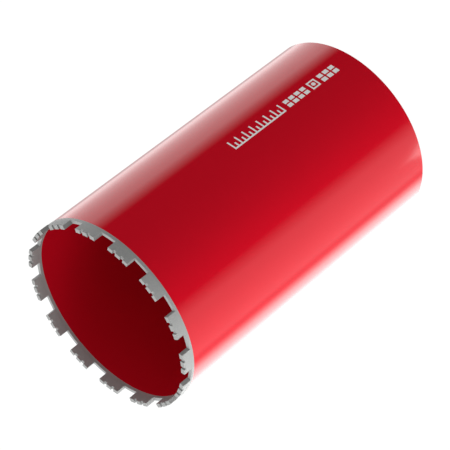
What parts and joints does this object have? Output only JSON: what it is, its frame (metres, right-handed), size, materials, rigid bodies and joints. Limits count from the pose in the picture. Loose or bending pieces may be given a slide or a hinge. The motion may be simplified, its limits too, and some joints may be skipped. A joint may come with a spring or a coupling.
{
  "type": "diamond core bit",
  "caption": "Painted steel tube with a crown of notched diamond segments at one end and a welded, threaded hub at the other.",
  "frame": {"origin": "centre of the hub's seat, in the mouth of its thread, which is the bottom of the standing bit", "axes": "+Z along the bit's axis from the hub to the crown; -Y through the middle of the first segment"},
  "size_m": [0.2, 0.1997, 0.39],
  "materials": {
    "barrel_paint": "gloss red, bare steel at the crown",
    "back_paint": "gloss red",
    "hub_paint": "gloss red, bare thread and seat",
    "weld_paint": "gloss red over weld ripples",
    "diamond_segment": "sintered, gritty grey"
  },
  "bodies": {
    "root": {"barrel": "barrel_paint", "back_plate": "back_paint", "hub": "hub_paint", "rim_weld": "weld_paint", "hub_weld": "weld_paint", "segment_01": "diamond_segment", "segment_02": "diamond_segment", "segment_03": "diamond_segment", "segment_04": "diamond_segment", "segment_05": "diamond_segment", "segment_06": "diamond_segment", "segment_07": "diamond_segment", "segment_08": "diamond_segment", "segment_09": "diamond_segment", "segment_10": "diamond_segment", "segment_11": "diamond_segment", "segment_12": "diamond_segment", "segment_13": "diamond_segment", "segment_14": "diamond_segment", "segment_15": "diamond_segment"}
  },
  "joints": []
}
